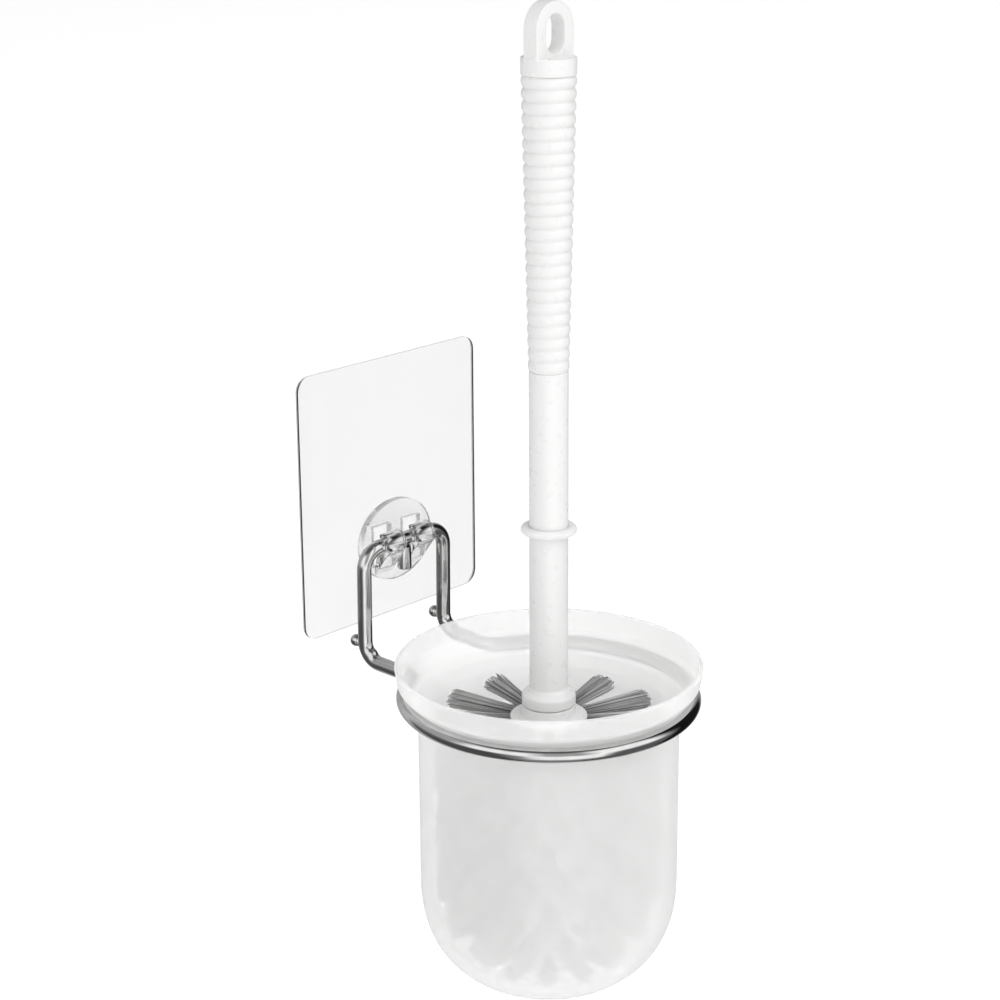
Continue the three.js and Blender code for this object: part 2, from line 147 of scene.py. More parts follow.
# ---------------------------------------------------------------- node helpers
class Nodes:
    """A small wrapper that adds nodes to a tree and links their sockets."""

    def __init__(self, tree):
        self.tree = tree
        self.tree.nodes.clear()

    def add(self, kind, **settings):
        node = self.tree.nodes.new(kind)
        for name, value in settings.items():
            setattr(node, name, value)
        return node

    def link(self, output, socket):
        self.tree.links.new(output, socket)

    def math(self, operation, a, b=None, c=None):
        node = self.add("ShaderNodeMath", operation=operation)
        for socket, value in zip(node.inputs, (a, b, c)):
            if value is None:
                continue
            if isinstance(value, (int, float)):
                socket.default_value = value
            else:
                self.link(value, socket)
        return node.outputs[0]

    def remap(self, value, low, high, to_low, to_high, smooth=False):
        node = self.add("ShaderNodeMapRange")
        node.interpolation_type = "SMOOTHSTEP" if smooth else "LINEAR"
        self.link(value, node.inputs["Value"])
        for name, number in (("From Min", low), ("From Max", high), ("To Min", to_low), ("To Max", to_high)):
            node.inputs[name].default_value = number
        return node.outputs["Result"]

    def noise(self, scale, detail=3.0, stretch=(1, 1, 1)):
        place = self.add("ShaderNodeTexCoord")
        mapping = self.add("ShaderNodeMapping")
        mapping.inputs["Scale"].default_value = stretch
        texture = self.add("ShaderNodeTexNoise")
        texture.inputs["Scale"].default_value = scale
        texture.inputs["Detail"].default_value = detail
        self.link(place.outputs["Object"], mapping.inputs["Vector"])
        self.link(mapping.outputs["Vector"], texture.inputs["Vector"])
        return texture.outputs["Fac"]

    def ramp(self, value, *stops):
        node = self.add("ShaderNodeValToRGB")
        elements = node.color_ramp.elements
        while len(elements) < len(stops):
            elements.new(0.5)
        for element, (position, color) in zip(elements, stops):
            element.position = position
            element.color = (*color, 1.0)
        self.link(value, node.inputs["Fac"])
        return node.outputs["Color"]

    def bump(self, height, strength, distance):
        node = self.add("ShaderNodeBump")
        node.inputs["Strength"].default_value = strength
        node.inputs["Distance"].default_value = distance
        self.link(height, node.inputs["Height"])
        return node.outputs["Normal"]

    def output(self, shader, kind="ShaderNodeOutputMaterial"):
        self.link(shader, self.add(kind).inputs["Surface"])


def grey(level, warmth=0.0):
    return (level * (1 + warmth), level, level * (1 - warmth))


def new_material(name):
    material = bpy.data.materials.new(name)
    material.use_nodes = True
    return material, Nodes(material.node_tree)


# ---------------------------------------------------------------- materials
def white_plastic():
    """Injection-moulded white plastic: satin, with faint cloudiness and a very fine skin texture."""
    material, nodes = new_material("white_plastic")
    shader = nodes.add("ShaderNodeBsdfPrincipled")
    cloud = nodes.noise(90.0)
    nodes.link(nodes.ramp(cloud, (0.3, grey(0.872, 0.005)), (0.7, grey(0.878, 0.003))),
               shader.inputs["Base Color"])
    nodes.link(nodes.remap(nodes.noise(260.0), 0.3, 0.7, 0.27, 0.29), shader.inputs["Roughness"])
    nodes.link(nodes.bump(nodes.noise(2200.0, 2.0), 0.03, 0.0001), shader.inputs["Normal"])
    nodes.output(shader.outputs["BSDF"])
    return material


def milky_plastic(name, level, see_through, painted_glow):
    """Milky plastic: soft and deep, with a painted glow standing in for light let through its wall from
    behind, and what is inside it showing faintly.
    """
    material, nodes = new_material(name)
    shader = nodes.add("ShaderNodeBsdfPrincipled")
    cloud = nodes.noise(45.0, 4.0)
    nodes.link(nodes.ramp(cloud, (0.3, grey(level - 0.02, 0.004)), (0.7, grey(level + 0.01, 0.002))),
               shader.inputs["Base Color"])
    shader.inputs["Subsurface Weight"].default_value = 1.0
    shader.inputs["Subsurface Radius"].default_value = (1.0, 1.0, 1.0)
    shader.inputs["Subsurface Scale"].default_value = 0.004
    # painted light: an even glow over the whole plastic stands in for light let through the wall
    shader.inputs["Emission Color"].default_value = (1, 1, 0.99, 1)
    shader.inputs["Emission Strength"].default_value = painted_glow
    nodes.link(nodes.remap(nodes.noise(150.0), 0.3, 0.7, 0.13, 0.2), shader.inputs["Roughness"])
    nodes.link(nodes.bump(nodes.noise(60.0, 2.0), 0.05, 0.001), shader.inputs["Normal"])
    clear = nodes.add("ShaderNodeBsdfTransparent")
    grazing = nodes.math("POWER", nodes.add("ShaderNodeLayerWeight").outputs["Facing"], 3.0)
    mix = nodes.add("ShaderNodeMixShader")
    nodes.link(nodes.remap(grazing, 0.0, 1.0, see_through, 0.0), mix.inputs[0])
    nodes.link(shader.outputs["BSDF"], mix.inputs[1])
    nodes.link(clear.outputs["BSDF"], mix.inputs[2])
    nodes.output(mix.outputs["Shader"])
    return material


def chrome():
    """Bright nickel-chrome plate over drawn wire: near-mirror, with faint draw ripples and hazy spots."""
    material, nodes = new_material("chrome_wire")
    shader = nodes.add("ShaderNodeBsdfPrincipled")
    shader.inputs["Metallic"].default_value = 1.0
    tone = nodes.noise(120.0, 5.0)
    nodes.link(nodes.ramp(tone, (0.3, grey(0.60, 0.006)), (0.7, grey(0.68, 0.004))),
               shader.inputs["Base Color"])
    nodes.link(nodes.remap(nodes.noise(350.0, 4.0), 0.35, 0.75, 0.03, 0.09), shader.inputs["Roughness"])
    nodes.link(nodes.bump(nodes.noise(140.0, 1.0), 0.12, 0.0006), shader.inputs["Normal"])
    nodes.output(shader.outputs["BSDF"])
    return material


def clear_moulding():
    """Clear styrene of the hook plate, a real refracting solid."""
    material, nodes = new_material("clear_moulding")
    shader = nodes.add("ShaderNodeBsdfPrincipled")
    tone = nodes.noise(60.0)
    nodes.link(nodes.ramp(tone, (0.3, grey(0.97)), (0.7, grey(0.995))), shader.inputs["Base Color"])
    shader.inputs["Transmission Weight"].default_value = 1.0
    shader.inputs["IOR"].default_value = 1.5
    nodes.link(nodes.remap(nodes.noise(180.0), 0.4, 0.8, 0.0, 0.05), shader.inputs["Roughness"])
    nodes.link(nodes.bump(nodes.noise(130.0, 2.0), 0.08, 0.0006), shader.inputs["Normal"])
    nodes.output(shader.outputs["BSDF"])
    return material


def clear_film(name, tint, haze):
    """Thin clear film: straight-through view, a weak mirror on top and a trace of cloudy haze."""
    material, nodes = new_material(name)
    clear = nodes.add("ShaderNodeBsdfTransparent")
    clear.inputs["Color"].default_value = (*grey(tint), 1.0)
    shader = nodes.add("ShaderNodeBsdfPrincipled")
    smear = nodes.noise(22.0, 3.0, stretch=(1, 1, 0.3))
    nodes.link(nodes.ramp(smear, (0.3, grey(0.80)), (0.7, grey(0.9))), shader.inputs["Base Color"])
    shader.inputs["Roughness"].default_value = 0.1
    mix = nodes.add("ShaderNodeMixShader")
    nodes.link(nodes.remap(smear, 0.3, 0.7, haze * 0.6, haze * 1.4), mix.inputs[0])
    nodes.link(clear.outputs["BSDF"], mix.inputs[1])
    nodes.link(shader.outputs["BSDF"], mix.inputs[2])
    gloss = nodes.add("ShaderNodeBsdfGlossy")
    gloss.inputs["Roughness"].default_value = 0.04
    grazing = nodes.add("ShaderNodeLayerWeight").outputs["Facing"]
    top = nodes.add("ShaderNodeMixShader")
    nodes.link(nodes.math("MULTIPLY_ADD", nodes.math("POWER", grazing, 5.0), 0.5, 0.02), top.inputs[0])
    nodes.link(mix.outputs["Shader"], top.inputs[1])
    nodes.link(gloss.outputs["BSDF"], top.inputs[2])
    nodes.output(top.outputs["Shader"])
    return material


def cut_edge(name, left, right, level):
    """A film's die-cut edge with painted shade: nearly black where it faces left, fainter on its other
    sides.
    """
    material, nodes = new_material(name)
    parts = nodes.add("ShaderNodeSeparateXYZ")
    nodes.link(nodes.add("ShaderNodeNewGeometry").outputs["Normal"], parts.inputs["Vector"])
    dark = nodes.add("ShaderNodeBsdfPrincipled")
    nodes.link(nodes.ramp(nodes.noise(900.0, 2.0), (0.3, grey(0.01)), (0.7, grey(0.03))),
               dark.inputs["Base Color"])
    dark.inputs["Roughness"].default_value = 0.3
    clear = nodes.add("ShaderNodeBsdfTransparent")
    # painted shade: how dark the edge is painted depends on which way it faces, darkest where it faces left
    painted_shade_left = nodes.remap(parts.outputs["X"], -0.9, -0.2, left, level, True)
    painted_shade_right = nodes.remap(parts.outputs["X"], 0.2, 0.9, 0.0, right - level, True)
    mix = nodes.add("ShaderNodeMixShader")
    nodes.link(nodes.math("ADD", painted_shade_left, painted_shade_right), mix.inputs[0])
    nodes.link(clear.outputs["BSDF"], mix.inputs[1])
    nodes.link(dark.outputs["BSDF"], mix.inputs[2])
    nodes.output(mix.outputs["Shader"])
    return material


def bristle_nylon():
    """Grey nylon filament: each bristle has a tone of its own, and painted shade makes it darker towards its
    root.
    """
    material, nodes = new_material("bristle")
    shader = nodes.add("ShaderNodeBsdfPrincipled")
    shade = nodes.add("ShaderNodeAttribute", attribute_name="shade")
    nodes.link(nodes.ramp(shade.outputs["Fac"], (0.0, grey(0.08)), (0.4, grey(0.42, 0.004)),
                          (1.0, grey(0.86, 0.004))), shader.inputs["Base Color"])
    nodes.link(nodes.remap(nodes.noise(700.0), 0.3, 0.7, 0.35, 0.55), shader.inputs["Roughness"])
    nodes.output(shader.outputs["BSDF"])
    return material


# ---------------------------------------------------------------- mesh helpers
def arc(x, y, radius, start, end, steps):
    """Points on an arc about (x, y), from one angle to the other in degrees, both ends included."""
    points = []
    for i in range(steps + 1):
        angle = math.radians(start + (end - start) * i / steps)
        points.append((x + radius * math.cos(angle), y + radius * math.sin(angle)))
    return points


def eased(points, radii, steps=5):
    """A polyline with its corners rounded: radii[i] is the rounding at points[i], 0 for none."""
    result = []
    last = len(points) - 1
    for i, (point, radius) in enumerate(zip(points, radii)):
        here = Vector(point)
        if radius <= 0 or i in (0, last):
            result.append(tuple(here))
            continue
        before = Vector(points[i - 1]) - here
        after = Vector(points[i + 1]) - here
        half = before.angle(after) / 2
        cut = min(radius / math.tan(half), before.length * 0.49, after.length * 0.49)
        start, end = here + before.normalized() * cut, here + after.normalized() * cut
        for k in range(steps + 1):
            t = k / steps
            result.append(tuple(start * (1 - t) ** 2 + here * 2 * t * (1 - t) + end * t ** 2))
    return result


def mesh_object(name, vertices, faces, materials, place=None):
    """A smooth-shaded object from points in millimetres, moved by place into the shared frame."""
    mesh = bpy.data.meshes.new(name)
    mesh.from_pydata([Vector(v) * MM for v in vertices], [], faces)
    if place is not None:
        mesh.transform(place)
    mesh.update()
    mesh.shade_smooth()
    for material in materials:
        mesh.materials.append(material)
    piece = bpy.data.objects.new(name, mesh)
    bpy.context.scene.collection.objects.link(piece)
    return piece


def sharpen(piece, degrees):
    """Keeps edges sharper than that angle crisp in the smooth shading."""
    piece.data.set_sharp_from_angle(angle=math.radians(degrees))
    return piece


def lathe(name, profile, materials, place, sides=96):
    """Turns (radius, height) points about Z. A profile that starts and ends on the axis is closed there."""
    vertices, rings = [], []
    for radius, height in profile:
        if radius < 1e-6:
            rings.append([len(vertices)])
            vertices.append((0, 0, height))
            continue
        rings.append(list(range(len(vertices), len(vertices) + sides)))
        for i in range(sides):
            angle = 2 * math.pi * i / sides
            vertices.append((radius * math.cos(angle), radius * math.sin(angle), height))
    open_ends = len(rings[0]) > 1 and len(rings[-1]) > 1
    pairs = list(zip(rings, rings[1:]))
    if open_ends:
        pairs.append((rings[-1], rings[0]))
    faces = []
    for low, high in pairs:
        for i in range(sides):
            j = (i + 1) % sides
            if len(low) == 1:
                faces.append((low[0], high[j], high[i]))
            elif len(high) == 1:
                faces.append((low[i], low[j], high[0]))
            else:
                faces.append((low[i], low[j], high[j], high[i]))
    return mesh_object(name, vertices, faces, materials, place)


def closed_tube(name, points, radius, materials, place, sides, swell):
    """Sweeps a circle round a closed path. swell(index, direction) scales its radius in a direction."""
    count = len(points)
    frames = []
    across = (points[1] - points[-1]).normalized().orthogonal().normalized()
    for i in range(count):
        along = (points[(i + 1) % count] - points[i - 1]).normalized()
        across = (across - along * across.dot(along)).normalized()
        frames.append((along, across.copy()))
    first_along, first_across = frames[0]
    carried = (across - first_along * across.dot(first_along)).normalized()
    twist = math.atan2(first_along.dot(carried.cross(first_across)), carried.dot(first_across))
    vertices, faces = [], []
    for i, (along, side) in enumerate(frames):
        side = Matrix.Rotation(twist * i / count, 3, along) @ side
        other = along.cross(side)
        for k in range(sides):
            angle = 2 * math.pi * k / sides
            out = side * math.cos(angle) + other * math.sin(angle)
            vertices.append(points[i] + out * radius * swell(i, out))
    for i in range(count):
        a, b = i * sides, ((i + 1) % count) * sides
        for k in range(sides):
            m = (k + 1) % sides
            faces.append((a + k, a + m, b + m, b + k))
    return mesh_object(name, vertices, faces, materials, place)


def slab(name, outline, holes, depth, bevel, materials, place, bevel_steps=3):
    """A plate with rounded edges from flat outlines: X across, Y up the outline, Z through its depth."""
    curve = bpy.data.curves.new(name, "CURVE")
    curve.dimensions = "2D"
    curve.fill_mode = "BOTH"
    for points in (outline, *holes):
        spline = curve.splines.new("POLY")
        spline.points.add(len(points) - 1)
        for target, (x, y) in zip(spline.points, points):
            target.co = (x * MM, y * MM, 0, 1)
        spline.use_cyclic_u = True
    curve.extrude = (depth / 2 - bevel) * MM
    curve.bevel_depth = bevel * MM
    curve.bevel_resolution = bevel_steps
    curve.offset = -bevel * MM
    drawing = bpy.data.objects.new(name + "_outline", curve)
    bpy.context.scene.collection.objects.link(drawing)
    graph = bpy.context.evaluated_depsgraph_get()
    mesh = bpy.data.meshes.new_from_object(drawing.evaluated_get(graph), depsgraph=graph)
    bpy.data.objects.remove(drawing)
    bpy.data.curves.remove(curve)
    body = bmesh.new()
    body.from_mesh(mesh)
    bmesh.ops.remove_doubles(body, verts=body.verts, dist=1e-6)
    bmesh.ops.recalc_face_normals(body, faces=body.faces)
    body.to_mesh(mesh)
    body.free()
    mesh.transform(place)
    mesh.name = name
    mesh.materials.clear()
    for material in materials:
        mesh.materials.append(material)
    mesh.shade_smooth()
    piece = bpy.data.objects.new(name, mesh)
    bpy.context.scene.collection.objects.link(piece)
    return sharpen(piece, 30)


def merged(piece, other):
    """Adds another object to the piece by a boolean union, and removes the other."""
    union = piece.modifiers.new("union", "BOOLEAN")
    union.operation = "UNION"
    union.solver = "EXACT"
    union.object = other
    graph = bpy.context.evaluated_depsgraph_get()
    result = bpy.data.meshes.new_from_object(piece.evaluated_get(graph), depsgraph=graph)
    piece.modifiers.clear()
    old = piece.data
    piece.data = result
    bpy.data.meshes.remove(old)
    bpy.data.objects.remove(other)
    piece.data.shade_smooth()
    return piece


def settle(piece, body, node):
    """The piece rides on a body and stands for a CAD node, whose own mesh is hidden."""
    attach(piece, body)
    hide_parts(node)


# ---------------------------------------------------------------- wall mount
# Outlines on the wall are drawn in X and Z, and their depth runs out from the wall.
FACING_ROOM = Matrix(((1, 0, 0, 0), (0, 0, -1, 0), (0, 1, 0, 0), (0, 0, 0, 1)))


def rounded_rectangle(half_width, half_height, corner, steps=10):
    x, y = half_width - corner, half_height - corner
    return (arc(x, y, corner, 0, 90, steps) + arc(-x, y, corner, 90, 180, steps)
            + arc(-x, -y, corner, 180, 270, steps) + arc(x, -y, corner, 270, 360, steps))


def film_layer(name, node, film, edge):
    low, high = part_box(node)
    outline = rounded_rectangle((high.x - low.x) / 2 / MM, (high.z - low.z) / 2 / MM, SHEET_CORNER)
    depth = (high.y - low.y) / MM
    place = Matrix.Translation((0, (low.y + high.y) / 2, (low.z + high.z) / 2)) @ FACING_ROOM
    piece = slab(name, outline, [], depth, SHEET_BEVEL, [film, edge], place, 1)
    for face in piece.data.polygons:
        face.material_index = 0 if abs(face.normal.y) > 0.9 else 1
    settle(piece, "wall_mount", node)


def window_outline(side):
    left = HOOK_INNER if side > 0 else -HOOK_OUTER
    right = HOOK_OUTER if side > 0 else -HOOK_INNER
    low, high = BAR_Z - WINDOW_BELOW, BAR_Z + WINDOW_ABOVE
    return [(left, low), (right, low), (right, high), (left, high)]


def hook(side, plate_front, material):
    """One open hook, drawn from the side with X towards the room, then turned across the plate."""
    seat = WIRE + SEAT_GAP
    back = BAR_Y - plate_front - HOOK_ROOT_DEPTH
    tip_turn = math.radians(HOOK_TIP_TURN)
    tip_radius = seat + HOOK_WALL / 2
    tip_x, tip_y = tip_radius * math.cos(tip_turn), tip_radius * math.sin(tip_turn)
    outline = [
        (back, -HOOK_ROOT_BOTTOM),
        *arc(0, 0, seat + HOOK_WALL, HOOK_FOOT_TURN, HOOK_LIP_TURN, 24),
        (tip_x, tip_y + HOOK_TIP_HALF),
        (tip_x, tip_y - HOOK_TIP_HALF),
        *arc(0, 0, seat, HOOK_LIP_TURN, HOOK_BACK_TURN, 36),
        (back, -HOOK_ROOT_TOP),
    ]
    middle = side * (HOOK_INNER + HOOK_OUTER) / 2
    turn = Matrix(((0, 0, -1, 0), (-1, 0, 0, 0), (0, 1, 0, 0), (0, 0, 0, 1)))
    place = Matrix.Translation((middle * MM, BAR_Y * MM, BAR_Z * MM)) @ turn
    return slab("hook", outline, [], HOOK_OUTER - HOOK_INNER, HOOK_BEVEL, [material], place, 2)


def hook_plate(material):
    low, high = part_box("hook_plate")
    sheet_low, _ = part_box("backing_sheet")
    half_width = (high.x - low.x) / 2 / MM
    plate_back = sheet_low.y / MM
    steps = 120
    outline = []
    for i in range(steps):
        angle = 2 * math.pi * i / steps
        outline.append((half_width * math.cos(angle), PLATE_Z + PLATE_HALF_HEIGHT * math.sin(angle)))
    place = Matrix.Translation((0, (plate_back - PLATE_THICKNESS / 2) * MM, 0)) @ FACING_ROOM
    piece = slab("hook_plate_clear", outline, [window_outline(-1), window_outline(1)], PLATE_THICKNESS,
                 PLATE_BEVEL, [material], place)
    for side in (-1, 1):
        piece = merged(piece, hook(side, plate_back - PLATE_THICKNESS, material))
    settle(sharpen(piece, 30), "wall_mount", "hook_plate")


# ---------------------------------------------------------------- wire bracket
def bend(centre, u, v, radius, sweep, steps):
    """Points on part of a circle in space, without the first one."""
    points = []
    for i in range(1, steps + 1):
        angle = sweep * i / steps
        points.append(Vector(centre) + radius * (math.cos(angle) * Vector(u) + math.sin(angle) * Vector(v)))
    return points


# The bracket is drawn about the middle of its bar, and leans by DROOP there.
AT_BAR = Matrix.Translation((0, BAR_Y * MM, BAR_Z * MM)) @ Matrix.Rotation(DROOP, 4, "X")


def half_of_wire(side):
    """The centre line from the middle of the bar to the front of the ring, and its inner bend's index."""
    ring = Vector((0, CUP_Y / MM - BAR_Y, RIM_Z / MM - RING_DROP - BAR_Z))
    ring.rotate(Matrix.Rotation(-DROOP, 3, "X"))
    corner_x = LEG_X - BEND
    leg_top, leg_bottom = -BEND, ring.z + BEND
    bend_x = LEG_X + BEND
    bend_y = math.sqrt((RING + BEND) ** 2 - bend_x ** 2)
    meet = math.atan2(bend_y, bend_x)
    arm_front = ring.y + bend_y
    points = [Vector((side * corner_x * i / BAR_STEPS, 0, 0)) for i in range(1, BAR_STEPS + 1)]
    points += bend((side * corner_x, 0, leg_top), (0, 0, 1), (side, 0, 0), BEND, math.pi / 2, BEND_STEPS)
    for i in range(1, LEG_STEPS + 1):
        points.append(Vector((side * LEG_X, 0, leg_top + (leg_bottom - leg_top) * i / LEG_STEPS)))
    crease = len(points) + BEND_STEPS // 2
    points += bend((side * LEG_X, -BEND, leg_bottom), (0, 1, 0), (0, 0, -1), BEND, math.pi / 2,
                   BEND_STEPS)
    for i in range(1, ARM_STEPS + 1):
        points.append(Vector((side * LEG_X, -BEND + (arm_front + BEND) * i / ARM_STEPS, ring.z)))
    points += bend((side * bend_x, arm_front, ring.z), (-side, 0, 0), (0, -1, 0), BEND, meet, JOIN_STEPS)
    points += bend(ring, (side * math.cos(meet), math.sin(meet), 0),
                   (side * math.sin(meet), -math.cos(meet), 0), RING, math.pi / 2 + meet, RING_STEPS)
    return points, crease


def wire_frame(material):
    right, crease = half_of_wire(1)
    left, _ = half_of_wire(-1)
    path = [Vector((0, 0, 0))] + right + left[-2::-1]
    creases = (crease + 1, len(path) - 1 - crease)
    inward = Vector((0, -1, 1)).normalized()

    def swell(index, out):
        """The wire gathers into a small lump inside each of the two tight bends under the legs."""
        near = max(math.exp(-((index - c) / LUMP_LENGTH) ** 2) for c in creases)
        return 1 + LUMP_SIZE * near * max(0.0, out.dot(inward)) ** LUMP_NARROWNESS

    piece = closed_tube("bracket_wire", path, WIRE, [material], AT_BAR, 24, swell)
    settle(piece, "bracket", "wire_frame")


def stand_off(name, node, side, material):
    low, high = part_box(node)
    reach = (high.y - low.y) / MM
    middle = Vector((side * LEG_X * MM, low.y, (low.z + high.z) / 2))
    centre = reach - BALL
    start = math.degrees(math.asin(BALL_NECK / BALL)) - 90
    profile = [(0, -NECK_SUNK), (BALL_NECK + 0.5, -NECK_SUNK), (BALL_NECK + 0.15, 0.1)]
    profile += arc(0, centre, BALL, start, 88, 20) + [(0, reach)]
    place = Matrix.Translation(middle) @ Matrix.Rotation(DROOP - math.pi / 2, 4, "X")
    piece = lathe(name, profile, [material], place, 40)
    settle(piece, "bracket", node)


def locating_peg(material):
    low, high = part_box("locating_peg")
    length = (high.z - low.z) / MM
    radius = (high.x - low.x) / 2 / MM
    profile = eased([(0, 0), (radius, 0), (radius, length), (0, length)], [0, 0.7, 0.2, 0])
    place = Matrix.Translation(((low.x + high.x) / 2, (low.y + high.y) / 2, low.z))
    piece = lathe("peg", profile, [material], place, 48)
    settle(sharpen(piece, 50), "bracket", "locating_peg")


# ---------------------------------------------------------------- cup
def dome(radius, depth, steps=48):
    """The cup's squared round bottom as (radius, height) points, from its lowest point up."""
    power = 2 / DOME_SQUARENESS
    points = [(0, DOME_TOP - depth)]
    for i in range(1, steps + 1):
        angle = math.pi / 2 * (i / steps) ** 1.1
        level = max(0.0, math.cos(angle))
        points.append((radius * math.sin(angle) ** power, DOME_TOP - depth * level ** power))
    return points


def cup(material):
    inner = CUP_BODY - CUP_WALL
    flare = [  # radius, height, rounding: up the outside, over the rim and down the inside
        (CUP_BODY, -22, 4), (CUP_BODY + 0.7, -17.2, 6), (CUP_BODY + 1.6, -13.4, 3),
        (CUP_BODY + 3.6, -11, 2.5), (CUP_BAND - 1.4, -9.4, 2), (CUP_BAND, -7.4, 1.5),
        (CUP_RIM, -1, 0.4), (CUP_RIM - 0.5, -0.2, 0.35), (CUP_RIM - 1.2, 0, 0.35),
        (CUP_RIM - 1.8, -0.7, 0.5), (CUP_BAND - CUP_WALL, -8, 1.2), (CUP_BODY + 4.1, -9.7, 1.5),
        (CUP_BODY + 2, -11.1, 2.5), (CUP_BODY + 0.1, -13, 3), (CUP_BODY - 1, -16.4, 6), (inner, -22, 4),
    ]
    corners = [(radius, height) for radius, height, _ in flare]
    rounding = [amount for _, _, amount in flare]
    dome_out = dome(CUP_BODY, DOME_DEPTH)
    dome_in = dome(inner, DOME_DEPTH - CUP_WALL)[::-1]
    neck = eased([dome_out[-1], *corners, dome_in[0]], [0, *rounding, 0], 4)
    profile = [*dome_out[:-1], *neck, *dome_in[1:]]
    piece = lathe("cup_body", profile, [material], ON_CUP_AXIS, 160)
    settle(piece, "cup", "cup")


# ---------------------------------------------------------------- brush
def hanging_loop(material):
    base = GRIP_TOP + CAP_HEIGHT
    centre = base + LOOP_HEIGHT - LOOP_HALF
    foot = base - LOOP_SUNK
    outline = [(-LOOP_HALF, foot), (LOOP_HALF, foot), *arc(0, centre, LOOP_HALF, 0, 180, 40)]
    slot_outline = (arc(0, base + SLOT_TOP - SLOT_HALF, SLOT_HALF, 0, 180, 24)
                    + arc(0, base + SLOT_BOTTOM + SLOT_HALF, SLOT_HALF, 180, 360, 24))
    place = ON_CUP_AXIS @ FACING_ROOM
    loop = slab("loop", outline, [slot_outline], LOOP_THICKNESS, LOOP_BEVEL, [material], place, 4)
    cap_top = base - PIECE_GAP
    profile = eased([(0, GRIP_TOP), (CAP_RADIUS, GRIP_TOP), (CAP_RADIUS, cap_top), (0, cap_top)],
                    [0, 0.25, 0.45, 0])
    cap = lathe("cap", profile, [material], ON_CUP_AXIS)
    settle(sharpen(merged(loop, cap), 30), "brush", "hanging_loop")


def ribbed_grip(material):
    """Rings with soft crests and rounded valleys, deeper towards the top."""
    pitch = (GRIP_TOP - GRIP_BOTTOM) / GRIP_RINGS
    profile = [(0, GRIP_BOTTOM)]
    for ring in range(GRIP_RINGS):
        for k in range(STEPS_PER_RING + 1):
            if k == STEPS_PER_RING and ring < GRIP_RINGS - 1:
                continue
            share = k / STEPS_PER_RING
            height = GRIP_BOTTOM + (ring + share) * pitch
            along = (height - GRIP_BOTTOM) / (GRIP_TOP - GRIP_BOTTOM)
            radius = GRIP_BOTTOM_RADIUS + (GRIP_TOP_RADIUS - GRIP_BOTTOM_RADIUS) * along
            depth = GROOVE_DEPTH + GROOVE_DEEPENING * along
            profile.append((radius - depth * abs(2 * share - 1) ** GROOVE_NARROWNESS, height))
    profile.append((0, GRIP_TOP))
    piece = lathe("grip", profile, [material], ON_CUP_AXIS)
    settle(piece, "brush", "ribbed_grip")


def stem(material):
    points = [
        (0, FOOT_BOTTOM), (FOOT_RADIUS, FOOT_BOTTOM), (FOOT_RADIUS, FOOT_TOP - FOOT_SLOPE),
        (STEM + 1.0, FOOT_TOP + 0.1), (STEM, FOOT_TOP + FOOT_SLOPE), (STEM, GRIP_BOTTOM), (0, GRIP_BOTTOM),
    ]
    profile = eased(points, [0, 1.4, 1.9, 1.2, 1.0, 0.3, 0], 8)
    piece = lathe("shaft", profile, [material], ON_CUP_AXIS)
    settle(sharpen(piece, 50), "brush", "stem")


def drip_collar(material):
    half = COLLAR_THICKNESS / 2
    bore = STEM + PIECE_GAP
    profile = [(bore, COLLAR_Z - half), *arc(COLLAR_RADIUS - half, COLLAR_Z, half, -90, 90, 14),
               (bore, COLLAR_Z + half)]
    piece = lathe("collar", profile, [material], ON_CUP_AXIS)
    settle(sharpen(piece, 50), "brush", "drip_collar")


def head_core(material):
    neck_top = FOOT_BOTTOM - PIECE_GAP
    points = [
        (0, CORE_BOTTOM), (CORE_RADIUS, CORE_BOTTOM), (CORE_RADIUS, CORE_TOP), (CORE_NECK, CORE_TOP),
        (CORE_NECK, neck_top), (0, neck_top),
    ]
    profile = eased(points, [0, 3, 0.5, 0.3, 0.3, 0], 6)
    piece = lathe("core", profile, [material], ON_CUP_AXIS)
    settle(sharpen(piece, 50), "brush", "head_core")


class Bundle:
    """Collects many thin bristles into one mesh, with a shade for each: its own tone, with painted shade
    towards its root.
    """

    def __init__(self):
        self.vertices, self.faces, self.shades = [], [], []

    def bristle(self, root, tip, sag, shade):
        along = (tip - root).normalized()
        side = along.orthogonal().normalized()
        other = along.cross(side)
        base = len(self.vertices)
        for i in range(BRISTLE_STEPS + 1):
            t = i / BRISTLE_STEPS
            centre = root.lerp(tip, t) + Vector((0, 0, -sag * t * t))
            # painted shade: the bristle is painted darker towards its root, where the tuft packs tight
            painted_root_shade = ROOT_PAINTED_SHADE + (1 - ROOT_PAINTED_SHADE) * min(1.0, t * PAINTED_SHADE_RISE)
            for k in range(BRISTLE_SIDES):
                angle = 2 * math.pi * k / BRISTLE_SIDES
                out = side * math.cos(angle) + other * math.sin(angle)
                self.vertices.append(centre + out * BRISTLE_RADIUS)
                self.shades.append(shade * painted_root_shade)
        for i in range(BRISTLE_STEPS):
            a, b = base + i * BRISTLE_SIDES, base + (i + 1) * BRISTLE_SIDES
            for k in range(BRISTLE_SIDES):
                m = (k + 1) % BRISTLE_SIDES
                self.faces.append((a + k, a + m, b + m, b + k))
        self.faces.append(tuple(base + BRISTLE_STEPS * BRISTLE_SIDES + k for k in range(BRISTLE_SIDES)))

    def finish(self, name, material, node):
        piece = mesh_object(name, self.vertices, self.faces, [material], ON_CUP_AXIS)
        shades = piece.data.attributes.new("shade", "FLOAT", "POINT")
        shades.data.foreach_set("value", self.shades)
        settle(piece, "brush", node)


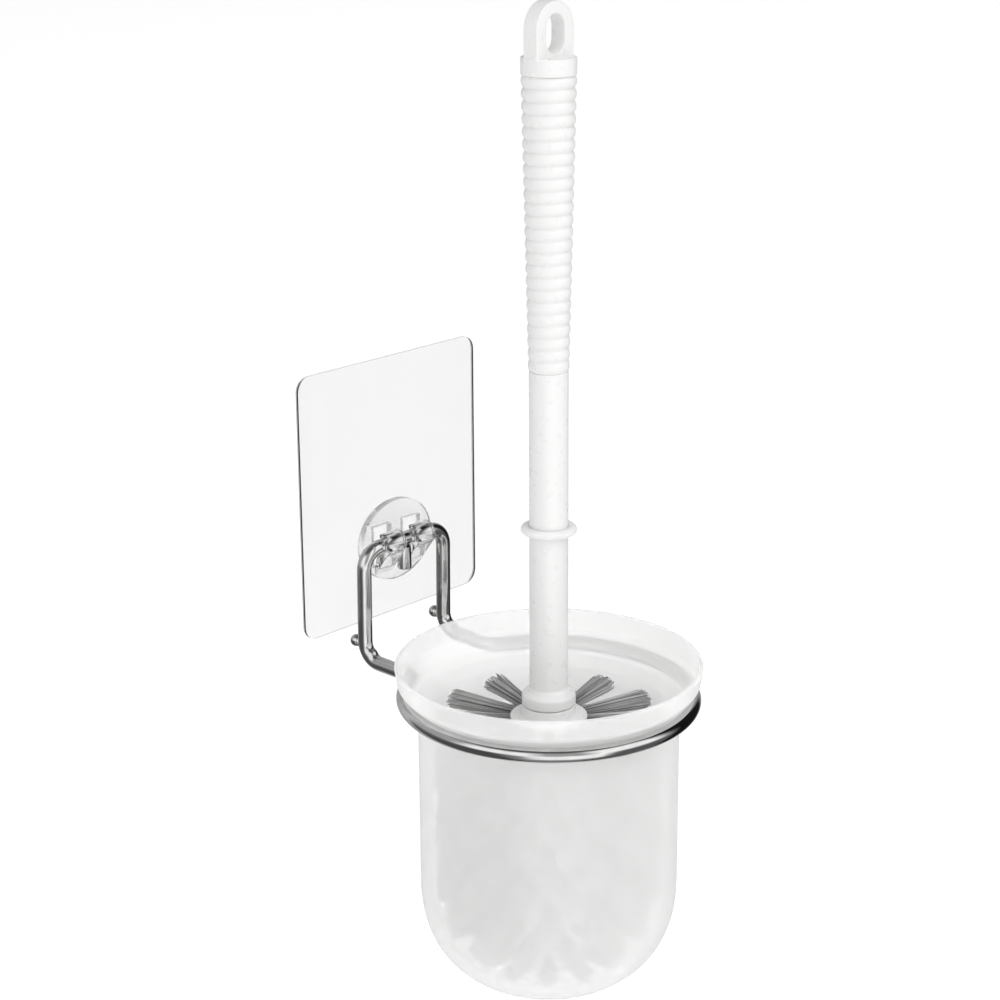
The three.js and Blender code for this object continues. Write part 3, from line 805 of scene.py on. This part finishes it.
def disc_points(count, rng):
    """Evenly scattered points in the unit disc, in a sunflower pattern with a little jitter."""
    for i in range(count):
        radius = math.sqrt((i + 0.5) / count)
        angle = i * 2.399963 + rng.uniform(-0.25, 0.25)
        yield radius * math.cos(angle), radius * math.sin(angle)


def reach_at(height):
    """How far bristles reach at a height: a straight side, then a dome that follows the cup."""
    below = max(0.0, DOME_TOP - height) / (DOME_DEPTH - CUP_WALL)
    inside = (CUP_BODY - CUP_WALL) * (1 - below ** DOME_SQUARENESS) ** (1 / DOME_SQUARENESS)
    return min(TUFT_REACH, inside - TUFT_CLEARANCE)


def tuft_row(row, material):
    rng = random.Random(100 + row)
    bundle = Bundle()
    height = FIRST_ROW - row * ROW_PITCH
    reach = reach_at(height - 3.5)
    tip_height = TOP_TIP_HEIGHT if row == 0 else LOWER_TIP_HEIGHT
    fan = (reach - CORE_RADIUS) / (TUFT_REACH - CORE_RADIUS)
    half_width = FAN_HALF_WIDTH + FAN_WIDENING * fan
    half_height = FAN_HALF_HEIGHT + (tip_height - FAN_HALF_HEIGHT) * fan
    up = Vector((0, 0, 1))
    for tuft in range(TUFTS_PER_ROW):
        turn = math.radians(TUFT_PHASE + 360 * (tuft + (row % 2) / 2) / TUFTS_PER_ROW)
        out = Vector((math.cos(turn), math.sin(turn), 0))
        across = Vector((-math.sin(turn), math.cos(turn), 0))
        for u, v in disc_points(BRISTLES_PER_TUFT, rng):
            root = (out * (CORE_RADIUS - ROOT_SUNK) + across * u * ROOT_HALF_WIDTH
                    + up * (height + v * ROOT_HALF_HEIGHT))
            end = reach - rng.uniform(0, TIP_RAGGEDNESS) - TIP_ROUNDING * (u * u + v * v)
            tip = (out * end + across * (u * half_width + rng.uniform(-0.3, 0.3))
                   + up * (height + v * half_height + rng.uniform(-0.2, 0.2)))
            bundle.bristle(root, tip, rng.uniform(-0.2, 0.5), rng.uniform(0.25, 1.0))
    bundle.finish(f"bristles_row_{row + 1}", material, f"tuft_row_{row + 1}")


def end_tuft(material):
    low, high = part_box("end_tuft")
    rng = random.Random(7)
    bundle = Bundle()
    top = (high.z - RIM_Z) / MM
    bottom = (low.z - RIM_Z) / MM
    spread = (high.x - low.x) / 2 / MM - 0.5
    for u, v in disc_points(END_BRISTLES, rng):
        away = math.hypot(u, v)
        root = Vector((u * END_ROOT_RADIUS, v * END_ROOT_RADIUS, top))
        tip = Vector((u * spread, v * spread, bottom + END_CROWN * away ** 2 + rng.uniform(0, 0.8)))
        bundle.bristle(root, tip, 0.0, rng.uniform(0.25, 1.0))
    bundle.finish("bristles_end", material, "end_tuft")


# ---------------------------------------------------------------- stage and light
# Lengths here are in metres and angles in degrees.
FLOOR_DROP, FLOOR_HALF = 0.10, 20.0  # the holder hangs this far above the floor
FLOOR_TONE, FLOOR_GLOW = 0.85, 0.42
SHELL_STEPS = 24
SHELLS = (  # name, radius, strength, azimuths from and to, elevations from and to, the rays that see it
    ("backdrop", 19.0, 1.05, (-180, 180), (-90, 90), "camera"),
    ("card", 18.5, 1.0, (VIEW_AZIMUTH + 118, VIEW_AZIMUTH + 230), (-65, 40), "transmission"),
    ("overhead", 18.0, 2.0, (-60, 60), (40, 85), "diffuse"),
)
SKY_BASE = 0.33
PANEL_SOFTNESS, FLAG_SOFTNESS = 12.0, 8.0
PANELS = (  # azimuth, half width, elevation, half height, light added
    (14.0, 30.0, 29.0, 26.0, 1.32),
    (-88.0, 28.0, 24.0, 23.0, 1.2),
    (-32.0, 30.0, -20.0, 25.0, 1.3),
    (-46.0, 24.0, 24.0, 26.0, 0.3),
    (-150.0, 34.0, 25.0, 40.0, 0.25),
    (132.0, 62.0, 10.0, 70.0, 0.25),
)
FLAGS = (  # azimuth, half width, elevation, half height, light kept
    (-125.0, 42.0, -40.0, 42.0, 0.35),
    (80.0, 24.0, 5.0, 55.0, 0.03),
    (32.0, 34.0, -42.0, 36.0, 0.5),
    (0.0, 400.0, 80.0, 26.0, 0.5),
)


def plain(name, tone, strength):
    """A pale matt surface that also glows a little, so that it stays white behind the object."""
    material, nodes = new_material(name)
    shader = nodes.add("ShaderNodeBsdfPrincipled")
    shader.inputs["Base Color"].default_value = (*grey(tone), 1.0)
    shader.inputs["Roughness"].default_value = 0.9
    shader.inputs["Emission Color"].default_value = (1, 1, 1, 1)
    shader.inputs["Emission Strength"].default_value = strength
    nodes.output(shader.outputs["BSDF"])
    return material


def make_floor():
    height = cup_low.z - FLOOR_DROP
    corners = [(-FLOOR_HALF, -FLOOR_HALF), (FLOOR_HALF, -FLOOR_HALF), (FLOOR_HALF, FLOOR_HALF),
               (-FLOOR_HALF, FLOOR_HALF)]
    floor = mesh_object("floor", [(x / MM, y / MM, height / MM) for x, y in corners], [(0, 1, 2, 3)],
                        [plain("floor_paint", FLOOR_TONE, FLOOR_GLOW)])
    floor.visible_glossy = False


def shell(name, radius, strength, columns, rows, seen_by):
    """Part of a glowing sphere about the origin. Only one kind of ray sees it."""
    row_length = SHELL_STEPS + 1
    vertices, faces = [], []
    for r in range(row_length):
        rise = rows[0] + (rows[1] - rows[0]) * r / SHELL_STEPS
        for c in range(row_length):
            turn = columns[0] + (columns[1] - columns[0]) * c / SHELL_STEPS
            vertices.append(back_from(turn, rise) * radius / MM)
    for r in range(SHELL_STEPS):
        for c in range(SHELL_STEPS):
            a = r * row_length + c
            faces.append((a, a + 1, a + row_length + 1, a + row_length))
    piece = mesh_object(name, vertices, faces, [plain(name + "_paper", 0.0, strength)])
    piece.visible_camera = seen_by == "camera"
    piece.visible_diffuse = seen_by == "diffuse"
    piece.visible_transmission = seen_by == "transmission"
    piece.visible_glossy = False
    piece.visible_volume_scatter = False
    piece.visible_shadow = False


def make_backdrop():
    """A white shell behind the object, a white card seen through clear plastic, and an overhead fill."""
    for row in SHELLS:
        shell(*row)


def panel(nodes, azimuth, elevation, middle, half_width, height, half_height, soft):
    """1 inside a soft-edged patch of sky, 0 outside. Azimuths run from -Y towards +X."""
    away = nodes.math("SUBTRACT", azimuth, middle)
    away = nodes.math("ABSOLUTE", nodes.math("WRAP", away, 180.0, -180.0))
    wide = nodes.remap(away, half_width - soft, half_width + soft, 1.0, 0.0, True)
    rise = nodes.math("ABSOLUTE", nodes.math("SUBTRACT", elevation, height))
    tall = nodes.remap(rise, half_height - soft, half_height + soft, 1.0, 0.0, True)
    return nodes.math("MULTIPLY", wide, tall)


def make_light():
    """Soft studio light: bright panels in front, left and low, weak ones behind, and dark flags."""
    world = bpy.data.worlds.new("studio")
    bpy.context.scene.world = world
    world.use_nodes = True
    nodes = Nodes(world.node_tree)
    direction = nodes.add("ShaderNodeTexCoord").outputs["Generated"]
    parts = nodes.add("ShaderNodeSeparateXYZ")
    nodes.link(direction, parts.inputs["Vector"])
    x, y, z = parts.outputs
    turn = nodes.math("DEGREES", nodes.math("ARCTAN2", x, nodes.math("MULTIPLY", y, -1.0)))
    rise = nodes.math("DEGREES", nodes.math("ARCSINE", z))
    total = SKY_BASE
    for *patch_place, gain in PANELS:
        patch = panel(nodes, turn, rise, *patch_place, PANEL_SOFTNESS)
        total = nodes.math("MULTIPLY_ADD", patch, gain, total)
    for *patch_place, kept in FLAGS:
        patch = panel(nodes, turn, rise, *patch_place, FLAG_SOFTNESS)
        total = nodes.math("MULTIPLY", total, nodes.remap(patch, 0.0, 1.0, 1.0, kept))
    background = nodes.add("ShaderNodeBackground")
    nodes.link(total, background.inputs["Strength"])
    nodes.output(background.outputs["Background"], "ShaderNodeOutputWorld")
    bpy.context.scene.view_settings.view_transform = "Standard"


# ---------------------------------------------------------------- assembly
make_camera()

plastic = white_plastic()
metal = chrome()
film = clear_film("clear_film", 0.977, 0.02)
adhesive = clear_film("adhesive_film", 0.982, 0.03)
# the edge numbers are painted shade: where it faces left, where it faces right, and on its other sides
film_edge = cut_edge("film_edge", 1.0, 0.5, 0.35)
adhesive_edge = cut_edge("adhesive_edge", 0.5, 0.1, 0.1)
styrene = clear_moulding()
# the last number of each milky plastic is its painted glow, standing in for light let through the plastic
cup_plastic = milky_plastic("milky_plastic", 0.96, 0.5, 0.14)
collar_plastic = milky_plastic("collar_plastic", 0.92, 0.15, 0.05)
nylon = bristle_nylon()

film_layer("adhesive_pad", "adhesive_layer", adhesive, adhesive_edge)
film_layer("clear_sheet", "backing_sheet", film, film_edge)
hook_plate(styrene)
wire_frame(metal)
stand_off("left_ball", "left_stand_off", -1, metal)
stand_off("right_ball", "right_stand_off", 1, metal)
locating_peg(metal)
cup(cup_plastic)
hanging_loop(plastic)
ribbed_grip(plastic)
stem(plastic)
drip_collar(collar_plastic)
head_core(plastic)
for row in range(TUFT_ROWS):
    tuft_row(row, nylon)
end_tuft(nylon)

make_floor()
make_backdrop()
make_light()
